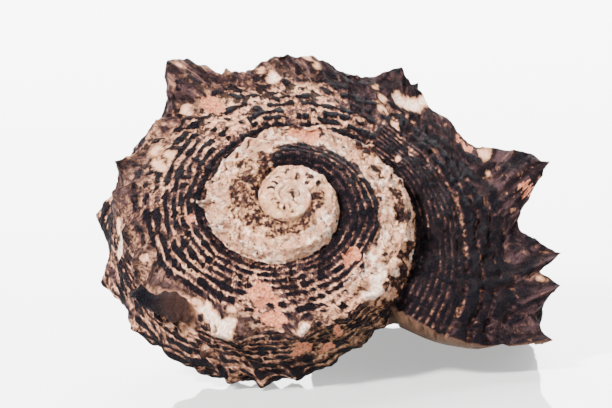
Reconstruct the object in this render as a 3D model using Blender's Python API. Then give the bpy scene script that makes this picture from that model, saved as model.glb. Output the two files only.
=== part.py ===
# Spiny sea-snail shell with an open spiral, as one closed solid in metres, +Z up.
# It rests aperture down on its lower spines, with the apex towards -Y and tilted up.
# The shell is one surface grown along a spiral. Stage t is the growth angle in degrees.
# Course u runs across the whorl: 0 suture, 1 shoulder keel, 2 line where the next whorl
# joins, 3 edge of the umbilicus, 4 end of the umbilical wall. Lengths inside are in mm.

import math

import bmesh
import bpy
import numpy as np

for item in list(bpy.data.objects):
    bpy.data.objects.remove(item, do_unlink=True)

# Growth of the whorls
MM = 0.001
KEEL_START = 1.60
GROWTH = 0.1361
DROP = 0.1343
DROP_POWER = 1.302
STAGE_FIRST = -200.0
STAGE_LIP = 1194.0
STAGE_WALL = 500.0
TURN_BACK = 334.0

# Uneven growth: stage and factor on the keel radius
GROWTH_FACTOR = [
    (-400, 1.0), (0, 1.03), (180, 1.05), (270, 0.93), (315, 0.88), (360, 0.97),
    (450, 0.99), (540, 1.0), (585, 1.04), (630, 1.06), (675, 0.99), (720, 1.03),
    (765, 1.08), (800, 1.12), (832, 1.04), (865, 0.99), (900, 0.955), (1006, 0.955),
    (1033, 0.935), (1069, 0.93), (1100, 0.95), (1113, 0.94), (1145, 0.945),
    (1170, 0.965), (1205, 1.0),
]

# Section of the outer side below the keel, from keel to edge of the umbilicus:
# course, outward and downward offset as shares of the keel radius, lag in degrees
SECTION = [
    (1.0, 0.0, 0.0, 0.0), (1.45, 0.045, -0.12, 3.5), (2.0, 0.07, -0.26, 8.0),
    (2.14, 0.065, -0.42, 14.0), (2.29, 0.02, -0.58, 21.0), (2.43, -0.08, -0.71, 27.0),
    (2.58, -0.24, -0.80, 32.5), (2.79, -0.48, -0.84, 38.0), (2.93, -0.66, -0.82, 42.0),
    (3.0, -0.73, -0.75, 44.0),
]

JOIN_LAG = SECTION[2][3]
EDGE_LAG = SECTION[-1][3]

# Shoulder spines: first and last stage of the tip, length at each, reach before and after
SHOULDER_SPINES = [
    (520, 520, 0.05, 0.05, 9, 9), (540, 540, 0.05, 0.05, 9, 9), (560, 560, 0.06, 0.06, 9, 9),
    (585, 585, 0.09, 0.09, 9, 9), (609, 609, 0.17, 0.17, 9, 9), (628, 628, 0.20, 0.20, 9, 9),
    (646, 646, 0.12, 0.12, 9, 9), (668, 668, 0.06, 0.06, 10, 10), (692, 692, 0.05, 0.05, 11, 11),
    (718, 718, 0.05, 0.05, 11, 11), (744, 744, 0.05, 0.05, 11, 11), (770, 770, 0.05, 0.05, 11, 11),
    (796, 796, 0.06, 0.06, 10, 10), (827, 827, 0.05, 0.05, 10, 10), (855, 855, 0.09, 0.09, 9, 9),
    (876, 876, 0.08, 0.08, 8, 8), (897, 897, 0.17, 0.17, 9, 9), (922, 930, 0.16, 0.175, 10, 9),
    (953, 959, 0.185, 0.20, 9, 9), (972, 972, 0.075, 0.075, 7, 7), (985, 985, 0.06, 0.06, 6, 6),
    (1000, 1000, 0.09, 0.09, 6, 6), (1012, 1012, 0.115, 0.115, 7, 9), (1033, 1033, 0.025, 0.025, 6, 6),
    (1048.5, 1054, 0.24, 0.20, 8.5, 10), (1064, 1064, 0.065, 0.065, 4, 5),
    (1080, 1094.5, 0.085, 0.038, 10, 5), (1113.5, 1113.5, 0.13, 0.13, 8, 12),
    (1119, 1119, 0.095, 0.095, 4, 9), (1132, 1132, 0.02, 0.02, 6, 6),
    (1149, 1153.5, 0.18, 0.245, 8, 13), (1174, 1174, 0.14, 0.14, 7, 7), (1181.5, 1181.5, 0.11, 0.11, 5, 9),
    (1194, 1194, 0.09, 0.09, 6, 6),
]

# Side spines below the joining line, same columns
SIDE_SPINES = [
    (870, 870, 0.04, 0.04, 8, 8), (885, 885, 0.045, 0.045, 8, 8), (900, 900, 0.055, 0.055, 8, 8),
    (914, 914, 0.08, 0.08, 6, 6), (926, 926, 0.10, 0.10, 6, 6), (938, 938, 0.08, 0.08, 6, 6),
    (950, 950, 0.06, 0.06, 6, 6), (962, 962, 0.055, 0.055, 7, 8), (978, 978, 0.08, 0.08, 8, 10),
    (999, 999, 0.10, 0.10, 10, 10), (1024, 1024, 0.135, 0.135, 10, 8), (1034, 1034, 0.06, 0.06, 5, 7),
    (1052, 1052, 0.11, 0.11, 9, 9), (1070, 1070, 0.10, 0.10, 9, 9), (1089, 1089, 0.11, 0.11, 9, 9),
    (1108, 1108, 0.10, 0.10, 9, 9), (1127, 1127, 0.09, 0.09, 9, 9), (1146, 1146, 0.08, 0.08, 9, 9),
    (1164, 1164, 0.06, 0.06, 9, 9), (1182, 1182, 0.04, 0.04, 9, 9),
]
SIDE_COURSE = 2.2

# Hollow of a broken spine: stage, course, half sizes in degrees and courses, depth
SCOOPS = [(956, 1.22, 7.0, 0.26, 0.06)]
SPINE_LIFT = 0.22

# Knobs along the edge of the umbilicus and small scales on the outer edge of the base
EDGE_PITCH = 15.0
EDGE_KNOB = 0.035
BASE_PITCH = 13.0
BASE_SCALE = 0.03
BASE_COURSE = 2.44

# Spiral cords: how many between the courses and how high against the keel radius
RAMP_CORDS = 9
UPPER_CORDS = 3
LOWER_CORDS = 9
RAMP_CORD_HEIGHT = 0.017
SIDE_CORD_HEIGHT = 0.020

# Hollow inside: centre and widest radius of the tube and wall, as shares of the keel radius
TUBE_OUT = 0.635
TUBE_DOWN = 0.405
TUBE_RADIUS = 0.42
WALL = 0.047
CALLUS = 1.5
CALLUS_LAG = 8.0
TUBE_DEPTH = 300.0
TUBE_SIDES = 24
TUBE_RINGS = 19

# Depth worn flat where the shell stands on its lower spines and lip, in mm
WORN_FLAT = 0.18

# Resting pose: axis tipped back and aside, then the whole turned and leant to sit flat
TIP_BACK = 31.2
TIP_ASIDE = 4.4
SETTLE = 9.3
LEAN = 1.8


def ease(x, points):
    """Shape-keeping cubic curve through points, held level outside them."""
    px = np.array([p[0] for p in points], float)
    py = np.array([p[1] for p in points], float)
    x = np.clip(np.asarray(x, float), px[0], px[-1])
    step = np.diff(px)
    rise = np.diff(py) / step
    slope = np.zeros(len(px))
    for i in range(1, len(px) - 1):
        if rise[i - 1] * rise[i] > 0:
            a = 2 * step[i] + step[i - 1]
            b = step[i] + 2 * step[i - 1]
            slope[i] = (a + b) / (a / rise[i - 1] + b / rise[i])
    slope[0] = rise[0]
    slope[-1] = rise[-1]
    k = np.clip(np.searchsorted(px, x, side="right") - 1, 0, len(step) - 1)
    s = (x - px[k]) / step[k]
    return (
        py[k] * (1 + 2 * s) * (1 - s) ** 2
        + slope[k] * step[k] * s * (1 - s) ** 2
        + py[k + 1] * s * s * (3 - 2 * s)
        + slope[k + 1] * step[k] * s * s * (s - 1)
    )


def keel_radius(t):
    return KEEL_START * np.exp(GROWTH * np.radians(t)) * ease(t, GROWTH_FACTOR)


def keel_height(t):
    return -DROP * (KEEL_START * np.exp(GROWTH * np.radians(t))) ** DROP_POWER


def spine_height(t, spines):
    """Length of the spines at stage t, as a share of the keel radius."""
    t = np.asarray(t, float)
    height = np.zeros_like(t)
    for first, last, long_first, long_last, before, after in spines:
        span = max(last - first, 1e-6)
        inside = np.clip((t - first) / span, 0, 1)
        tip = long_first + (long_last - long_first) * inside
        away = np.where(t < first, (first - t) / before, (t - last) / after)
        away = np.clip(away, 0, 1)
        height = np.maximum(height, tip * (1 - away) ** 1.5)
    return height


def relief(t):
    """How much of the cords is left: the early whorls are worn."""
    return ease(t, [(-100, 0.15), (300, 0.25), (560, 0.7), (760, 1.0), (1194, 1.0)])


def cords(share, count):
    """Ridge profile across the whorl: 0 in the grooves, 1 on the cords."""
    return np.sin(math.pi * np.clip(share, 0, 1) * count) ** 2


def outer_side(t, u, bare=False):
    """Angle, radius and height on the outer side and base, courses 1 to 3."""
    t, u = np.broadcast_arrays(np.asarray(t, float), np.asarray(u, float))
    size = keel_radius(t)
    out = ease(u, [(p[0], p[1]) for p in SECTION])
    down = ease(u, [(p[0], p[2]) for p in SECTION])
    lag = ease(u, [(p[0], p[3]) for p in SECTION])
    near_lip = ease(t, [(1090, 0.0), (1194, 1.0)])
    out = np.where(out > 0, out * (1 - 0.6 * near_lip), out)
    down = np.where(t > 1090, down * (1 + 0.04 * near_lip), down)
    swell = ease(t, [(800, 0.0), (850, 0.045), (945, 0.045), (975, 0.02), (1000, 0.0)])
    out = out + swell * ease(u, [(1.0, 0.0), (1.9, 0.9), (2.2, 1.0), (2.6, 0.0)])
    radius = size * (1 + out)
    height = keel_height(t) + size * down
    if not bare:
        turn = 0.01
        run = ease(u + turn, [(p[0], p[1]) for p in SECTION]) - out
        fall = ease(u + turn, [(p[0], p[2]) for p in SECTION]) - down
        ahead = ease(u - turn, [(p[0], p[1]) for p in SECTION])
        above = ease(u - turn, [(p[0], p[2]) for p in SECTION])
        run = run + out - ahead
        fall = fall + down - above
        reach = np.maximum(np.hypot(run, fall), 1e-9)
        normal_r = -fall / reach
        normal_z = run / reach
        upper = SIDE_CORD_HEIGHT * cords(u - 1, UPPER_CORDS) * (u < 2)
        lower = SIDE_CORD_HEIGHT * cords(u - 2, LOWER_CORDS) * (u >= 2)
        lift = (upper + lower) * relief(t)
        side = spine_height(t, SIDE_SPINES)
        lift = lift + side * np.clip(1 - np.abs(u - SIDE_COURSE) / 0.15, 0, 1) ** 1.3
        edge = np.cos(np.radians(180 * t / EDGE_PITCH)) ** 2
        lift = lift + EDGE_KNOB * edge * np.clip(1 - np.abs(u - 3.0) / 0.05, 0, 1)
        scale = np.cos(np.radians(180 * t / BASE_PITCH)) ** 2
        scale = scale * ease(t, [(875, 1.0), (900, 2.2), (940, 2.2), (965, 1.0)])
        lift = lift + BASE_SCALE * scale * np.clip(1 - np.abs(u - BASE_COURSE) / 0.06, 0, 1)
        for stage, course, half, wide, deep in SCOOPS:
            off = ((t - stage) / half) ** 2 + ((u - course) / wide) ** 2
            lift = lift - deep * np.clip(1 - off, 0, 1)
        radius = radius + size * lift * normal_r
        height = height + size * lift * normal_z
        tip = spine_height(t, SHOULDER_SPINES) * size
        tip = tip * ease(u, [(1.0, 1.0), (1.17, 0.62), (1.4, 0.22), (1.75, 0.0)])
        radius = radius + tip
        height = height + SPINE_LIFT * tip
    return t - lag, radius, height


def ramp(t, u, bare=False):
    """Angle, radius and height on the ramp from suture to keel, courses 0 to 1."""
    t, u = np.broadcast_arrays(np.asarray(t, float), np.asarray(u, float))
    size = keel_radius(t)
    _, inner_r, inner_z = outer_side(t - TURN_BACK, 2.0, bare)
    keel_z = keel_height(t)
    radius = inner_r + (size - inner_r) * u
    height = inner_z + (keel_z - inner_z) * u
    bow = ease(u, [(0, 0), (0.25, 0.024), (0.55, 0.012), (0.8, -0.012), (1.0, 0.0)])
    height = height + size * bow
    if not bare:
        tilt = np.arctan2(keel_z - inner_z, size - inner_r)
        lift = RAMP_CORD_HEIGHT * cords(u, RAMP_CORDS) * relief(t)
        radius = radius - size * lift * np.sin(tilt)
        height = height + size * lift * np.cos(tilt)
        tip = spine_height(t, SHOULDER_SPINES) * size
        tip = tip * ease(u, [(0.45, 0.0), (0.75, 0.2), (0.9, 0.56), (1.0, 1.0)])
        radius = radius + tip
        height = height + SPINE_LIFT * tip
    start = 360.0 - TURN_BACK - JOIN_LAG
    lead = ease(u, [(0, start), (0.35, 15.5), (0.7, 9.0), (1.0, 0.0)])
    return t + lead, radius, height


def wall(t, u, bare=False):
    """Angle, radius and height on the umbilical wall, courses 3 to 4."""
    t, u = np.broadcast_arrays(np.asarray(t, float), np.asarray(u, float))
    share = u - 3.0
    _, rim_r, rim_z = outer_side(t, 3.0, True)
    _, end_r, end_z = outer_side(t - TURN_BACK, 3.0, True)
    radius = rim_r + (end_r - rim_r) * share
    radius = radius - 0.02 * keel_radius(t) * np.sin(math.pi * share)
    height = rim_z + (end_z - rim_z) * share
    if not bare:
        _, knob_r, knob_z = outer_side(t, 3.0)
        _, last_r, last_z = outer_side(t - TURN_BACK, 3.0)
        near = (1 - share) ** 4
        far = share ** 6
        radius = radius + (knob_r - rim_r) * near + (last_r - end_r) * far
        height = height + (knob_z - rim_z) * near + (last_z - end_z) * far
    lag = EDGE_LAG + (TURN_BACK - 360.0) * share
    return t - lag, radius, height


def surface(t, u, bare=False):
    """Angle, radius and height anywhere on the outside of the whorl."""
    t, u = np.broadcast_arrays(np.asarray(t, float), np.asarray(u, float))
    out = np.zeros(t.shape + (3,))
    for mask, rule in (
        (u < 1, ramp), ((u >= 1) & (u <= 3), outer_side), (u > 3, wall)
    ):
        if mask.any():
            out[mask] = np.stack(rule(t[mask], u[mask], bare), -1)
    return out


def place(polar):
    """Polar position about the shell's own axis, in mm, to x, y, z."""
    angle = np.radians(polar[..., 0])
    return np.stack(
        [
            polar[..., 1] * np.sin(angle),
            polar[..., 1] * np.cos(angle),
            polar[..., 2],
        ],
        -1,
    )


def tube_ring(t):
    """One ring of the inner wall at stage t, as an offset from the outside section."""
    size = float(keel_radius(t))
    own = surface(t, np.linspace(0, 4, 161), True)
    inner = surface(t - TURN_BACK, np.linspace(3, 2, 41), True)
    loop = np.concatenate([own, inner[1:]])
    loop[len(own):, 0] += 360.0
    centre = np.array([TUBE_OUT * size, float(keel_height(t)) - TUBE_DOWN * size])
    flat = loop[:, 1:] - centre
    ring = []
    for k in range(TUBE_SIDES):
        angle = 2 * math.pi * k / TUBE_SIDES
        ray = np.array([math.cos(angle), math.sin(angle)])
        a = flat
        b = np.roll(flat, -1, axis=0)
        side = b - a
        cross = ray[0] * side[:, 1] - ray[1] * side[:, 0]
        cross = np.where(np.abs(cross) < 1e-12, 1e-12, cross)
        reach = (a[:, 0] * side[:, 1] - a[:, 1] * side[:, 0]) / cross
        share = (a[:, 0] * ray[1] - a[:, 1] * ray[0]) / cross
        good = (reach > 0) & (share >= -1e-9) & (share <= 1 + 1e-9)
        reach = np.where(good, reach, np.inf)
        hit = int(np.argmin(reach))
        far = float(reach[hit])
        turn = loop[hit, 0] + (loop[(hit + 1) % len(loop), 0] - loop[hit, 0]) * share[hit]
        callus = 1.0
        if hit >= len(own) - 1:
            callus = CALLUS
            turn = turn - CALLUS_LAG
        near = min(TUBE_RADIUS * size, far - callus * WALL * size)
        ring.append((turn, centre[0] + ray[0] * near, centre[1] + ray[1] * near))
    return np.array(ring)


def fill(stages):
    """Stages with even steps added so that no column is too wide."""
    filled = []
    for a, b in zip(stages[:-1], stages[1:]):
        widest = 24.0 if a < 300 else (15.0 if a < 480 else 9.5)
        parts = max(1, math.ceil((b - a) / widest))
        filled += [a + (b - a) * i / parts for i in range(parts)]
    filled.append(stages[-1])
    return filled


def column_stages(fixed, spines, after_stage):
    """Stages of the mesh columns: spine tips, the slopes beside them, and even steps."""
    stages = list(fixed)
    wanted = []
    for first, last, _, _, before, after in spines:
        if first < after_stage:
            continue
        wanted += [(0, first), (0, last), (1, first - before * 0.5), (1, last + after * 0.5)]
    for _, stage in sorted(wanted):
        if min(abs(stage - s) for s in stages) > 2.6 and stage < STAGE_LIP:
            stages.append(stage)
    return fill(sorted(stages))


def courses(first, last, cords_between):
    """Courses on every cord and in every groove from first to last, ends included."""
    count = 2 * cords_between
    return [first + (last - first) * i / count for i in range(count + 1)]


def zip_strip(a, ka, b, kb):
    """Triangles between two rows of vertices, matched by their keys."""
    faces = []
    i = 0
    j = 0
    while i < len(a) - 1 or j < len(b) - 1:
        take_a = j >= len(b) - 1 or (i < len(a) - 1 and ka[i + 1] <= kb[j + 1])
        if take_a:
            faces.append((a[i], a[i + 1], b[j]))
            i += 1
        else:
            faces.append((a[i], b[j + 1], b[j]))
            j += 1
    return faces


def build_shell():
    """Vertices in mm about the shell's axis, and triangles, of the closed shell."""
    points = []
    faces = []

    def add(position):
        points.append(position)
        return len(points) - 1

    stage_back = STAGE_LIP - TURN_BACK
    fixed = [STAGE_FIRST, STAGE_FIRST + TURN_BACK, stage_back, STAGE_LIP]
    stages = column_stages(fixed, SHOULDER_SPINES, 560)
    lip = len(stages) - 1
    back = stages.index(stage_back)
    low_stages = column_stages([stage_back, STAGE_LIP], SIDE_SPINES, stage_back)
    first_turn = fill([STAGE_WALL, STAGE_WALL + TURN_BACK])
    wall_stages = first_turn[:-1:2] + [STAGE_WALL + TURN_BACK] + low_stages

    fine_ramp = courses(0, 1, RAMP_CORDS)[1:]
    upper = courses(1, 2, UPPER_CORDS)[1:]
    lower = courses(2, 3, LOWER_CORDS)[1:]
    wall_rows = [3.25, 3.55, 3.8]
    coarse_ramp = [fine_ramp[i] for i in (0, 4, 8, 12, 15, 17)]
    middle_ramp = [fine_ramp[i] for i in (0, 2, 4, 6, 8, 10, 12, 14, 16, 17)]

    # Upper part, from the first ramp course to the joining line
    top = []
    for t in stages:
        if t < 470:
            rows = coarse_ramp + [upper[2], upper[5]]
        elif t < 700:
            rows = middle_ramp + [upper[1], upper[3], upper[5]]
        else:
            rows = fine_ramp + upper
        top.append(rows)
    column = []
    for t, rows in zip(stages, top):
        where = place(surface(t, np.array(rows)))
        column.append([add(p) for p in where])
    for i in range(lip):
        faces += zip_strip(column[i], top[i], column[i + 1], top[i + 1])

    # Lower part of the last whorl, from below the joining line to the umbilicus
    low_column = []
    for t in low_stages:
        low_column.append([add(p) for p in place(surface(t, np.array(lower)))])
    for a, b in zip(low_column[:-1], low_column[1:]):
        faces += zip_strip(a, lower, b, lower)
    join = [column[i][-1] for i in range(back, lip + 1)]
    under = [c[0] for c in low_column]
    faces += zip_strip(under, low_stages, join, stages[back:])

    # Umbilical wall
    wall_column = []
    for t in wall_stages:
        where = place(surface(t, np.array([3.0] + wall_rows)))
        wall_column.append([add(p) for p in where[1:]])
        if t >= stage_back:
            edge = low_column[low_stages.index(t)][-1]
        else:
            edge = add(where[0])
        wall_column[-1].insert(0, edge)
    rows = [3.0] + wall_rows
    for a, b in zip(wall_column[:-1], wall_column[1:]):
        faces += zip_strip(a, rows, b, rows)

    # Seams: first ramp course to the whorl before, and last wall course to its edge
    start = next(i for i, t in enumerate(stages) if t >= STAGE_FIRST + TURN_BACK)
    a = [column[i][0] for i in range(start, lip + 1)]
    b = [column[i][-1] for i in range(0, back + 1)]
    kb = [stages[i] + TURN_BACK for i in range(0, back + 1)]
    faces += zip_strip(b, kb, a, stages[start:])

    turn_back = [t + TURN_BACK for t in wall_stages if t <= stage_back]
    wall_start = next(i for i, t in enumerate(wall_stages) if t >= turn_back[0])
    a = [c[-1] for c in wall_column[wall_start:]]
    b = [c[0] for c in wall_column[: len(turn_back)]]
    faces += zip_strip(a, wall_stages[wall_start:], b, turn_back)

    # Apex cap
    ring = column[0] + [column[i][0] for i in range(start, 0, -1)]
    tip = np.mean([points[v] for v in ring], axis=0)
    tip[2] = max(points[v][2] for v in ring) + 0.05
    tip = add(tip)
    faces += [(ring[k], ring[(k + 1) % len(ring)], tip) for k in range(len(ring))]

    # Blind bottom of the umbilicus
    ring = wall_column[0][::-1] + [c[-1] for c in wall_column[wall_start:0:-1]]
    mean = np.mean([points[v] for v in ring], axis=0)
    bottom = add(np.array([0.0, 0.0, mean[2] + 0.3]))
    faces += [(ring[k], ring[(k + 1) % len(ring)], bottom) for k in range(len(ring))]

    # Lip loop round the aperture, then the inner wall back to a blind end
    outer = [column[back][-1]] + column[lip] + low_column[-1]
    outer += wall_column[-1][1:] + low_column[0][::-1]
    size = float(keel_radius(STAGE_LIP))
    middle = np.array([TUBE_OUT * size, float(keel_height(STAGE_LIP)) - TUBE_DOWN * size])

    def bearing(polar_r, height):
        return math.atan2(height - middle[1], polar_r - middle[0])

    keys = []
    for v in outer:
        p = points[v]
        keys.append(bearing(math.hypot(p[0], p[1]), p[2]))
    share = [i / (TUBE_RINGS - 1) for i in range(TUBE_RINGS)]
    ring_stages = [STAGE_LIP - TUBE_DEPTH * part for part in share]
    rings = []
    for stage in ring_stages:
        rings.append([add(p) for p in place(tube_ring(stage))])
    # Clockwise bearings for both loops, starting at the same place
    first = rings[0]
    inner_keys = [bearing(math.hypot(points[v][0], points[v][1]), points[v][2]) for v in first]
    begin = keys[0]
    key_outer = [(begin - k) % (2 * math.pi) for k in keys]
    for k in range(1, len(key_outer)):
        key_outer[k] = max(key_outer[k], key_outer[k - 1])
    order = sorted(range(len(first)), key=lambda k: (begin - inner_keys[k]) % (2 * math.pi))
    a = outer + [outer[0]]
    ka = key_outer + [2 * math.pi]
    b = [first[k] for k in order] + [first[order[0]]]
    kb = [(begin - inner_keys[k]) % (2 * math.pi) for k in order]
    kb = [k - kb[0] * 0.999 for k in kb] + [2 * math.pi]
    faces += [tuple(reversed(f)) for f in zip_strip(a, ka, b, kb)]
    sides = TUBE_SIDES
    for r0, r1 in zip(rings[:-1], rings[1:]):
        for k in range(sides):
            n = (k + 1) % sides
            faces.append((r0[k], r1[k], r1[n]))
            faces.append((r0[k], r1[n], r0[n]))
    end = np.mean([points[v] for v in rings[-1]], axis=0)
    blind = add(end)
    for k in range(sides):
        faces.append((rings[-1][k], blind, rings[-1][(k + 1) % sides]))
    return np.array(points), faces


def settle(points):
    """Turn the shell from its own axis to its resting pose, apex towards -Y."""
    ca, sa = math.cos(math.radians(TIP_BACK)), math.sin(math.radians(TIP_BACK))
    cb, sb = math.cos(math.radians(TIP_ASIDE)), math.sin(math.radians(TIP_ASIDE))
    cc, sc = math.cos(math.radians(SETTLE)), math.sin(math.radians(SETTLE))
    x, y, z = points[:, 0], points[:, 1], points[:, 2]
    up = y * ca + z * sa
    near = z * ca - y * sa
    across = x * cb + near * sb
    near = near * cb - x * sb
    height = up * cc + near * sc
    cd, sd = math.cos(math.radians(LEAN)), math.sin(math.radians(LEAN))
    return np.stack(
        [across * cd + height * sd, up * sc - near * cc, height * cd - across * sd], -1
    )


points, faces = build_shell()
points = settle(points)
points[:, 2] = np.maximum(points[:, 2], points[:, 2].min() + WORN_FLAT)
low = points.min(0)
high = points.max(0)
shift = np.array([(low[0] + high[0]) / 2, (low[1] + high[1]) / 2, low[2]])
points = (points - shift) * MM

mesh = bpy.data.meshes.new("shell")
mesh.from_pydata([tuple(p) for p in points], [], [tuple(f) for f in faces])
form = bmesh.new()
form.from_mesh(mesh)
bmesh.ops.recalc_face_normals(form, faces=form.faces)
if form.calc_volume(signed=True) < 0:
    bmesh.ops.reverse_faces(form, faces=form.faces)
form.to_mesh(mesh)
form.free()
mesh.validate()
for face in mesh.polygons:
    face.use_smooth = True

shell = bpy.data.objects.new("shell", mesh)
bpy.context.scene.collection.objects.link(shell)

material = bpy.data.materials.new("shell")
material.use_nodes = True
surface_node = material.node_tree.nodes["Principled BSDF"]
surface_node.inputs["Base Color"].default_value = (0.34, 0.24, 0.19, 1.0)
surface_node.inputs["Roughness"].default_value = 0.55
mesh.materials.append(material)
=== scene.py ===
# Looks of the spiny sea-snail shell: a finely modelled shell in place of the plain solid.
# The shape is in mm about the shell's own axis. Stage t is the growth angle in degrees.
# Course u runs across the whorl: 0 suture, 1 shoulder keel, 2 joining line of the next
# whorl, 3 edge of the umbilicus, 4 end of the umbilical wall.
import math

import bmesh
import bpy
import numpy as np
from mathutils import Matrix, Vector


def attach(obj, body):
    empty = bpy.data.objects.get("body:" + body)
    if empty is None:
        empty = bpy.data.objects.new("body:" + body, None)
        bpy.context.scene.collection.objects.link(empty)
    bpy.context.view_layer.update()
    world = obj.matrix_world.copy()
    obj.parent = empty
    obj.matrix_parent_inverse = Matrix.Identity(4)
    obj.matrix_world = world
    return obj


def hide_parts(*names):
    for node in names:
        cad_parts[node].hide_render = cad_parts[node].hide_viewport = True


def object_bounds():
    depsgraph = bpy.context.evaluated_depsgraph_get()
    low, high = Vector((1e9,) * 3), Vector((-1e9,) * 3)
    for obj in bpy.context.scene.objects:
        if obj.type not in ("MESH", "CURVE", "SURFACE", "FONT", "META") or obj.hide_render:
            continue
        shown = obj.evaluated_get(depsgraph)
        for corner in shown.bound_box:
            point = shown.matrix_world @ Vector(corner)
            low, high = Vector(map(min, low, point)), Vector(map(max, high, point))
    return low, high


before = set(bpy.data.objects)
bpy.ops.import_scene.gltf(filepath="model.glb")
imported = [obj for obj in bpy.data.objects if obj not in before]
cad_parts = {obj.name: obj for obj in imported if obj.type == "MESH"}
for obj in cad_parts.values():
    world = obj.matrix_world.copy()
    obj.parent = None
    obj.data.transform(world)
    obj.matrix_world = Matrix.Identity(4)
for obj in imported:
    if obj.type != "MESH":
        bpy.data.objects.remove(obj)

cad_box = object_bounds()

# Growth of the whorls, as in the part
MM = 0.001
KEEL_START = 1.60
GROWTH = 0.1361
DROP = 0.1343
DROP_POWER = 1.302
STAGE_FIRST = -200.0
STAGE_LIP = 1194.0
STAGE_WALL = 500.0
TURN_BACK = 334.0
GROWTH_FACTOR = [
    (-400, 1.0), (0, 1.03), (180, 1.05), (270, 0.93), (315, 0.88), (360, 0.97),
    (450, 0.99), (540, 1.0), (585, 1.04), (630, 1.06), (675, 0.99), (720, 1.03),
    (765, 1.08), (800, 1.12), (832, 1.04), (865, 0.99), (900, 0.955), (1006, 0.955),
    (1033, 0.935), (1069, 0.93), (1100, 0.95), (1113, 0.94), (1145, 0.945),
    (1170, 0.965), (1205, 1.0),
]

# Section of the outer side below the keel: course, outward and downward offset, lag
SECTION = [
    (1.0, 0.0, 0.0, 0.0), (1.45, 0.045, -0.12, 3.5), (2.0, 0.07, -0.26, 8.0),
    (2.14, 0.065, -0.42, 14.0), (2.29, 0.02, -0.58, 21.0), (2.43, -0.08, -0.71, 27.0),
    (2.58, -0.24, -0.80, 32.5), (2.79, -0.48, -0.84, 38.0), (2.93, -0.66, -0.82, 42.0),
    (3.0, -0.73, -0.75, 44.0),
]
JOIN_LAG = SECTION[2][3]
EDGE_LAG = SECTION[-1][3]

# Spines: stage, length and reach, and for a broad one both ends' stages, lengths and reaches
SHOULDER_SPINES = [
    (520, 0.05, 9), (540, 0.05, 9), (560, 0.06, 9), (585, 0.09, 9), (609, 0.25, 7),
    (628, 0.28, 7), (646, 0.12, 9), (668, 0.06, 10), (692, 0.05, 11), (718, 0.05, 11),
    (744, 0.05, 11), (770, 0.05, 11), (796, 0.06, 10), (827, 0.05, 10), (855, 0.09, 9),
    (876, 0.08, 8), (897, 0.17, 9), (922, 930, 0.16, 0.175, 10, 9), (953, 959, 0.185, 0.20, 9, 9),
    (972, 0.075, 7), (985, 0.06, 6), (1000, 0.09, 6), (1012, 0.115, 7, 9), (1033, 0.025, 6),
    (1048.5, 1054, 0.24, 0.20, 8.5, 10), (1064, 0.065, 4, 5), (1080, 1094.5, 0.085, 0.038, 10, 5),
    (1113.5, 0.13, 8, 12), (1119, 0.095, 4, 9), (1132, 0.02, 6),
    (1149, 1153.5, 0.18, 0.245, 8, 13), (1174, 0.14, 7), (1181.5, 0.11, 5, 9), (1194, 0.09, 6),
]
SIDE_SPINES = [
    (870, 0.04, 8), (885, 0.045, 8), (900, 0.055, 8), (914, 0.08, 6), (926, 0.10, 6),
    (938, 0.08, 6), (950, 0.06, 6), (962, 0.055, 7, 8), (978, 0.08, 8, 10), (999, 0.10, 10),
    (1024, 0.135, 10, 8), (1034, 0.06, 5, 7), (1052, 0.11, 9), (1070, 0.10, 9), (1089, 0.11, 9),
    (1108, 0.10, 9), (1127, 0.09, 9), (1146, 0.08, 9), (1164, 0.06, 9), (1182, 0.04, 9),
]
SIDE_COURSE = 2.2
SCOOPS = [(956, 1.22, 7.0, 0.26, 0.06)]
SPINE_LIFT = 0.22
EDGE_PITCH = 15.0
EDGE_KNOB = 0.035
BASE_PITCH = 13.0
BASE_SCALE = 0.03
BASE_COURSE = 2.44
WORN_FLAT = 0.18

# Spiral cords: how many on the ramp, upper side and lower side, and how high
RAMP_CORDS = 9
UPPER_CORDS = 6
LOWER_CORDS = 14
RAMP_CORD_HEIGHT = 0.022
SIDE_CORD_HEIGHT = 0.018

# Hollow inside
TUBE_OUT = 0.635
TUBE_DOWN = 0.405
TUBE_RADIUS = 0.42
WALL = 0.047
LIP_WALL = 0.016
CALLUS = 1.5
CALLUS_LAG = 8.0
TUBE_DEPTH = 300.0
TUBE_SIDES = 72
TUBE_RINGS = 56

# Resting pose, as in the part
TIP_BACK = 31.2
TIP_ASIDE = 4.4
SETTLE = 9.3
LEAN = 1.8

# Place of the shell's own origin, at the apex, in the part's frame, in mm
AXIS_PLACE = (-3.751, -12.268, 19.861)

# Fine grid: stage where a zone starts, column step in degrees, rows per cord
ZONES = [(-200.0, 2.2, 3), (500.0, 0.8, 4), (860.0, 0.52, 4)]
LOW_STEP = 0.8
WALL_STEP = 4.0
WALL_ROWS = [3.08, 3.2, 3.35, 3.5, 3.65, 3.8, 3.92]
BEAD_COLUMNS = 4

# Rows per cord on the side and base: full ones where the photo shows them, few elsewhere
SIDE_ROWS = 4
HIDDEN_ROWS = 2
SEEN_CORDS = 6


def ease(x, points):
    """Shape-keeping cubic curve through points, held level outside them."""
    px = np.array([p[0] for p in points], float)
    py = np.array([p[1] for p in points], float)
    x = np.clip(np.asarray(x, float), px[0], px[-1])
    step = np.diff(px)
    rise = np.diff(py) / step
    slope = np.zeros(len(px))
    for i in range(1, len(px) - 1):
        if rise[i - 1] * rise[i] > 0:
            a = 2 * step[i] + step[i - 1]
            b = step[i] + 2 * step[i - 1]
            slope[i] = (a + b) / (a / rise[i - 1] + b / rise[i])
    slope[0] = rise[0]
    slope[-1] = rise[-1]
    k = np.clip(np.searchsorted(px, x, side="right") - 1, 0, len(step) - 1)
    s = (x - px[k]) / step[k]
    return (
        py[k] * (1 + 2 * s) * (1 - s) ** 2
        + slope[k] * step[k] * s * (1 - s) ** 2
        + py[k + 1] * s * s * (3 - 2 * s)
        + slope[k + 1] * step[k] * s * s * (s - 1)
    )


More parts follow.
